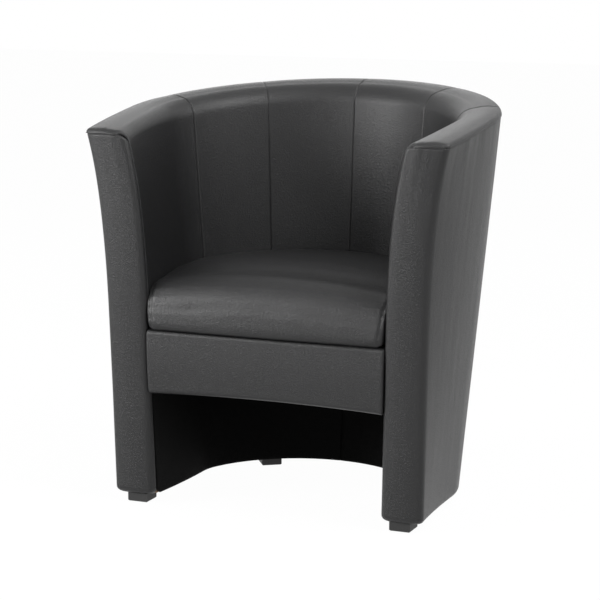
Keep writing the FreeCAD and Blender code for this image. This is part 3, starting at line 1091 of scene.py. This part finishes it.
def simulate(piece):
    # the cloth under pressure, frame by frame; its last shape becomes the mesh
    c = swelling
    cover = piece.modifiers.new("cloth", "CLOTH")
    cover.settings.use_pressure = True
    cover.settings.uniform_pressure_force = c["pressure"]
    cover.settings.effector_weights.gravity = 0
    cover.point_cache.frame_start = 1
    cover.point_cache.frame_end = c["frames"]
    scene = bpy.context.scene
    for frameNumber in range(1, c["frames"] + 1):
        scene.frame_set(frameNumber)
    swollen = coordinates(bake(piece))
    scene.frame_set(1)
    return swollen


def smoothed(moved, mesh):
    # each vertex takes half its own move and half that of its neighbours, again and again
    ends = np.array([edge.vertices[:] for edge in mesh.edges])
    share = np.bincount(ends.ravel(), minlength=len(moved))[:, None]
    for _ in range(swelling["smoothing"]):
        total = np.zeros_like(moved)
        np.add.at(total, ends[:, 0], moved[ends[:, 1]])
        np.add.at(total, ends[:, 1], moved[ends[:, 0]])
        moved = (moved + total / np.maximum(share, 1)) / 2
    return moved


def blowUp(piece):
    # the cover is blown up by the foam inside it, and keeps clear of the arms, the back and the rail
    c = swelling
    remesh = piece.modifiers.new("remesh", "REMESH")
    remesh.mode = "VOXEL"
    remesh.voxel_size = c["voxel"]
    start = coordinates(bake(piece))
    moved = smoothed(simulate(piece) - start, piece.data)
    far = np.linalg.norm(moved, axis=1, keepdims=True)
    moved *= np.minimum(1.0, c["cap"] / np.maximum(far, 1e-9))
    height = np.clip((start[:, 2] - seat["low"]) / c["footHeight"], 0, 1)
    reach = -(start[:, 1] - shiftY) - (seat["front"] - c["frontReach"])
    forward = np.clip(reach / c["frontWay"], 0, 1)
    moved[:, 0] *= c["sideShare"]
    moved[:, 1] *= c["backShare"] + c["frontShare"] * forward
    moved[:, 1] = np.clip(moved[:, 1], -c["frontCap"], c["frontCap"])
    moved[:, 2] *= c["upShare"]
    setCoordinates(piece.data, start + moved * (height ** 2 * (3 - 2 * height))[:, None])
    print("cloth moved up to", round(float(far.max()), 4))
    smooth = piece.modifiers.new("smooth", "SUBSURF")
    smooth.levels = smooth.render_levels = 1
    bake(piece)


def sewSeat(piece):
    # the seams where the front and top panel meets the side bands, drawn in, with small gathers beside them
    c = seatSeam
    mesh = piece.data
    points = coordinates(mesh)
    normals = np.empty(len(points) * 3, dtype=np.float32)
    mesh.vertex_normals.foreach_get("vector", normals)
    normals = normals.reshape(-1, 3)
    outline = seatOutline(0.0, c["level"])
    side = outline[outline[:, 0] > 0]
    side = side[np.argsort(side[:, 1])]
    half = np.interp(points[:, 1], side[:, 1], side[:, 0])
    fromSeam = np.abs(points[:, 0]) - (half - c["inset"])
    push = -c["dip"] * np.exp(-(fromSeam / c["width"]) ** 2)
    near = np.where((np.abs(fromSeam) < c["band"]) & (points[:, 2] > seat["low"] + c["foot"]))[0]
    for i in near:
        x, y, z = points[i]
        wave = noise.noise(Vector(((z + y) * c["along"], c["seed"] * math.copysign(1, x), x * c["across"])))
        push[i] += c["pucker"] * wave * math.exp(-abs(fromSeam[i]) / c["reach"])
    setCoordinates(mesh, points + normals * push[:, None])
    mesh.shade_smooth()


def dustCoverRows():
    c = lining
    edge = seatOutline(c["seatEdge"], clothLevel("dust_cover"))
    centre = edge.mean(axis=0)
    shares = [max(seat["middle"], 1 - i / c["rings"]) for i in range(c["rings"] + 1)]
    rings = [centre + (edge - centre) * share for share in shares]
    return [[rippled(p, c["seatRipple"]) for p in list(ring) + [ring[0]]] for ring in rings]


piece = closedPiece("seatCushion", seatRows(), leatherLook)
blowUp(piece)
sewSeat(piece)
finishCover(piece, "seat_cover", "seat_foam", "seat_felt")
rows = dustCoverRows()
piece = stretchedCloth("dustCover", rows, "dust_cover", False)
spread = np.ptp(np.array(rows[0]), axis=0)
declareSheet(piece, (float(spread[0]), float(spread[1])), bandSize(rows)[1], "seat_frame")
print("seat done")

# Stitches along the arms' front seams and the seam round the rim

stitch = {
    "length": 0.0042,
    "width": 0.0015,
    "sides": 8,
    "rings": 4,
    "frontSpacing": 0.0065,
    "frontSteps": 160,
    "frontLow": 0.024,
    "frontProud": 0.0006,
    "fromSeam": 0.0034,
    "edgeSpacing": 0.005,
    "edgeSteps": 500,
    "edgeProud": 0.0001,
    "aboveSeam": 0.0012,
}


def stitchTree():
    tree = bpy.data.node_groups.new("stitches", "GeometryNodeTree")
    tree.interface.new_socket("Geometry", in_out="INPUT", socket_type="NodeSocketGeometry")
    spacing = tree.interface.new_socket("Spacing", in_out="INPUT", socket_type="NodeSocketFloat")
    size = tree.interface.new_socket("Size", in_out="INPUT", socket_type="NodeSocketVector")
    tree.interface.new_socket("Geometry", in_out="OUTPUT", socket_type="NodeSocketGeometry")
    add, join = tree.nodes.new, tree.links.new
    given = add("NodeGroupInput")
    made = add("NodeGroupOutput")
    curve = add("GeometryNodeMeshToCurve")
    resample = add("GeometryNodeResampleCurve")
    resample.mode = "LENGTH"
    tangent = add("GeometryNodeInputTangent")
    align = add("FunctionNodeAlignRotationToVector")
    align.axis = "X"
    bead = add("GeometryNodeMeshUVSphere")
    bead.inputs["Segments"].default_value = stitch["sides"]
    bead.inputs["Rings"].default_value = stitch["rings"]
    bead.inputs["Radius"].default_value = 0.5
    shape = add("GeometryNodeTransform")
    place = add("GeometryNodeInstanceOnPoints")
    real = add("GeometryNodeRealizeInstances")
    soften = add("GeometryNodeSetShadeSmooth")
    paint = add("GeometryNodeSetMaterial")
    paint.inputs["Material"].default_value = threadLook
    join(given.outputs["Geometry"], curve.inputs[0])
    join(curve.outputs[0], resample.inputs["Curve"])
    join(given.outputs["Spacing"], resample.inputs["Length"])
    join(bead.outputs["Mesh"], shape.inputs["Geometry"])
    join(given.outputs["Size"], shape.inputs["Scale"])
    join(resample.outputs[0], place.inputs["Points"])
    join(shape.outputs[0], place.inputs["Instance"])
    join(tangent.outputs[0], align.inputs["Vector"])
    join(align.outputs[0], place.inputs["Rotation"])
    join(place.outputs[0], real.inputs[0])
    join(real.outputs[0], soften.inputs["Geometry"])
    join(soften.outputs[0], paint.inputs["Geometry"])
    join(paint.outputs[0], made.inputs[0])
    return tree, spacing.identifier, size.identifier


stitches, spacingInput, sizeInput = stitchTree()


def stitchLine(name, points, spacing):
    mesh = bpy.data.meshes.new(name)
    mesh.from_pydata([tuple(p) for p in points], [(i, i + 1) for i in range(len(points) - 1)], [])
    mesh.materials.append(threadLook)
    piece = addObject(name, mesh)
    sewing = piece.modifiers.new("stitches", "NODES")
    sewing.node_group = stitches
    sewing[spacingInput] = spacing
    sewing[sizeInput] = (stitch["length"], stitch["width"], stitch["width"])
    bake(piece)
    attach(piece, "root")


def frontSeamLine(sign):
    c = stitch
    setback = innerCover["frontSeamBack"]
    top = onRim(frontEnd, shell["wall"], innerCover["rimRound"], setback)[2]
    levels = [c["frontLow"] + (top - c["frontLow"]) * i / c["frontSteps"] for i in range(c["frontSteps"] + 1)]
    depth = shell["wall"] + c["frontProud"]
    return [wallPoint(sign * frontEnd, depth, z, setback + c["fromSeam"]) for z in levels]


def rimSeamLine():
    c = stitch
    headings = [frontEnd * (2 * i / c["edgeSteps"] - 1) for i in range(c["edgeSteps"] + 1)]
    return [onRim(heading, -c["edgeProud"], innerCover["lip"] - c["aboveSeam"]) for heading in headings]


for side, sign in (("Right", 1), ("Left", -1)):
    stitchLine("frontSeamStitches" + side, frontSeamLine(sign), stitch["frontSpacing"])
stitchLine("rimSeamStitches", rimSeamLine(), stitch["edgeSpacing"])
print("stitches done")

# The room, the light and the camera

camera = {
    "azimuth": 22.88,
    "elevation": 10.07,
    "distance": 4.2115,
    "lens": 129.65,
    "targetX": -0.03048,
    "targetZ": 0.36042,
}
lamps = {
    "key": {"place": (-2.65, -2.45, 1.5), "aim": (0.0, 0.0, 0.45), "size": (1.5, 1.5), "power": 165.0},
    "overheadRight": {"place": (1.5, -0.3, 2.5), "aim": (-0.1, 0.0, 0.5), "size": (1.2, 1.2), "power": 60.0},
    "behind": {"place": (-1.4, 3.0, 1.5), "aim": (0.0, 0.0, 0.7), "size": (1.6, 1.6), "power": 8.0},
    "rightSide": {"place": (2.8, -0.6, 1.5), "aim": (0.2, 0.0, 0.4), "size": (1.4, 2.0), "power": 20.0},
}
room = {
    "light": 0.4,  # of the world on the object
    "background": 1.0,  # white, where it is seen directly
    "floor": (0.9, 0.9, 0.9, 1.0),
    "floorShare": 0.98,  # how much of the floor is background, the rest takes the shadow
    "floorReach": 12.0,
}


def addCamera():
    c = camera
    a, e = math.radians(c["azimuth"]), math.radians(c["elevation"])
    right = Vector((math.cos(a), math.sin(a), 0))
    behind = Vector((math.sin(a) * math.cos(e), -math.cos(a) * math.cos(e), math.sin(e)))
    up = behind.cross(right)
    target = right * c["targetX"] + up * c["targetZ"] + Vector((0, shiftY, 0))
    data = bpy.data.cameras.new("camera")
    data.lens = c["lens"]
    data.sensor_width = 36.0
    data.clip_end = 50.0
    eye = addObject("camera", data)
    turn = Matrix((right, up, behind)).transposed().to_4x4()
    eye.matrix_world = Matrix.Translation(target + behind * c["distance"]) @ turn
    bpy.context.scene.camera = eye


def addLamp(name, place, aim, size, power):
    data = bpy.data.lights.new(name, "AREA")
    data.shape = "RECTANGLE"
    data.size, data.size_y = size
    data.energy = power
    lamp = addObject(name, data)
    way = Vector(place) - Vector(aim)
    lamp.matrix_world = Matrix.Translation(place) @ way.to_track_quat("Z", "Y").to_matrix().to_4x4()


def backgroundShare(nodes, links):
    # 1 where the background is seen directly, in a reflection or through glass
    path = nodes.new("ShaderNodeLightPath")
    total = path.outputs["Is Camera Ray"]
    for kind in ("Is Glossy Ray", "Is Transmission Ray"):
        more = nodes.new("ShaderNodeMath")
        more.use_clamp = True
        links.new(total, more.inputs[0])
        links.new(path.outputs[kind], more.inputs[1])
        total = more.outputs[0]
    return total


def addWorld():
    world = bpy.data.worlds.new("studio")
    bpy.context.scene.world = world
    world.use_nodes = True
    nodes, links = world.node_tree.nodes, world.node_tree.links
    plain = nodes["Background"]
    plain.inputs["Color"].default_value = (1, 1, 1, 1)
    plain.inputs["Strength"].default_value = room["light"]
    white = nodes.new("ShaderNodeBackground")
    white.inputs["Color"].default_value = (1, 1, 1, 1)
    white.inputs["Strength"].default_value = room["background"]
    mix = nodes.new("ShaderNodeMixShader")
    links.new(backgroundShare(nodes, links), mix.inputs["Fac"])
    links.new(plain.outputs["Background"], mix.inputs[1])
    links.new(white.outputs["Background"], mix.inputs[2])
    links.new(mix.outputs["Shader"], nodes["World Output"].inputs["Surface"])


def addFloor():
    material, nodes, links = newMaterial("paleFloor")
    nodes.remove(nodes["Principled BSDF"])
    matt = nodes.new("ShaderNodeBsdfDiffuse")
    matt.inputs["Color"].default_value = room["floor"]
    glow = nodes.new("ShaderNodeEmission")
    glow.inputs["Strength"].default_value = room["background"]
    share = nodes.new("ShaderNodeMath")
    share.operation = "MULTIPLY"
    share.inputs[1].default_value = room["floorShare"]
    mix = nodes.new("ShaderNodeMixShader")
    links.new(backgroundShare(nodes, links), share.inputs[0])
    links.new(share.outputs[0], mix.inputs["Fac"])
    links.new(matt.outputs[0], mix.inputs[1])
    links.new(glow.outputs[0], mix.inputs[2])
    links.new(mix.outputs[0], nodes["Material Output"].inputs["Surface"])
    mesh = bpy.data.meshes.new("floor")
    r = room["floorReach"]
    mesh.from_pydata([(-r, -r, 0), (r, -r, 0), (r, r, 0), (-r, r, 0)], [], [(0, 1, 2, 3)])
    mesh.materials.append(material)
    addObject("floor", mesh)


addCamera()
for name, values in lamps.items():
    addLamp(name, **values)
addWorld()
addFloor()
bpy.context.scene.view_settings.view_transform = "Standard"
print("room done")
